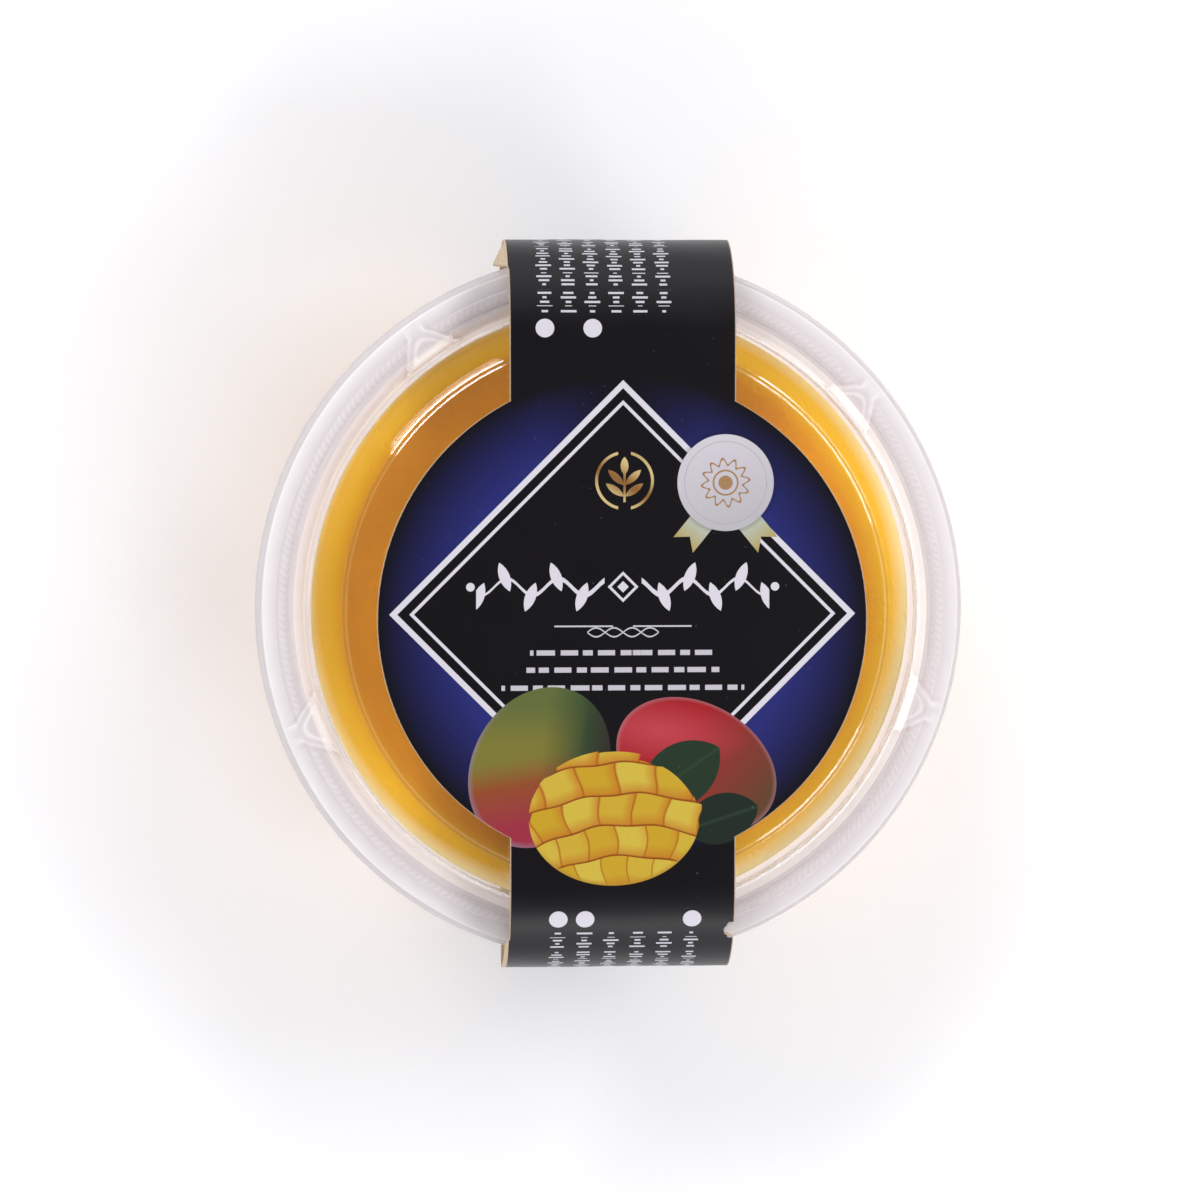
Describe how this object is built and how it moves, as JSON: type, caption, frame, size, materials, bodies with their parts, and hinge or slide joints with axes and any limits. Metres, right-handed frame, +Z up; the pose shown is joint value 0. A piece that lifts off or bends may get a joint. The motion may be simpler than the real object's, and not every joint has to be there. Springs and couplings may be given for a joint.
{
  "type": "mango pudding cup",
  "caption": "Shut clear dessert cup of mango pudding, with a push-on lid with a raised panel and a card sleeve whose round top panel and straps run over the rim and under the base.",
  "frame": {"origin": "on the cup's own axis, at the flat underside of the card strap that the cup stands on", "axes": "+Z up along the cup's axis, -Y towards the front strap, +X to the right of the print"},
  "size_m": [0.101, 0.1037, 0.0525],
  "materials": {
    "pudding": "set mango pudding, satin, slightly translucent",
    "clear_cup": "clear moulded plastic, glossy",
    "clear_lid": "clear formed plastic, glossy",
    "printed_card": "printed and varnished paperboard, low sheen"
  },
  "bodies": {
    "root": {"pudding": "pudding", "cup": "clear_cup", "lid": "clear_lid", "sleeve": "printed_card"}
  },
  "joints": []
}
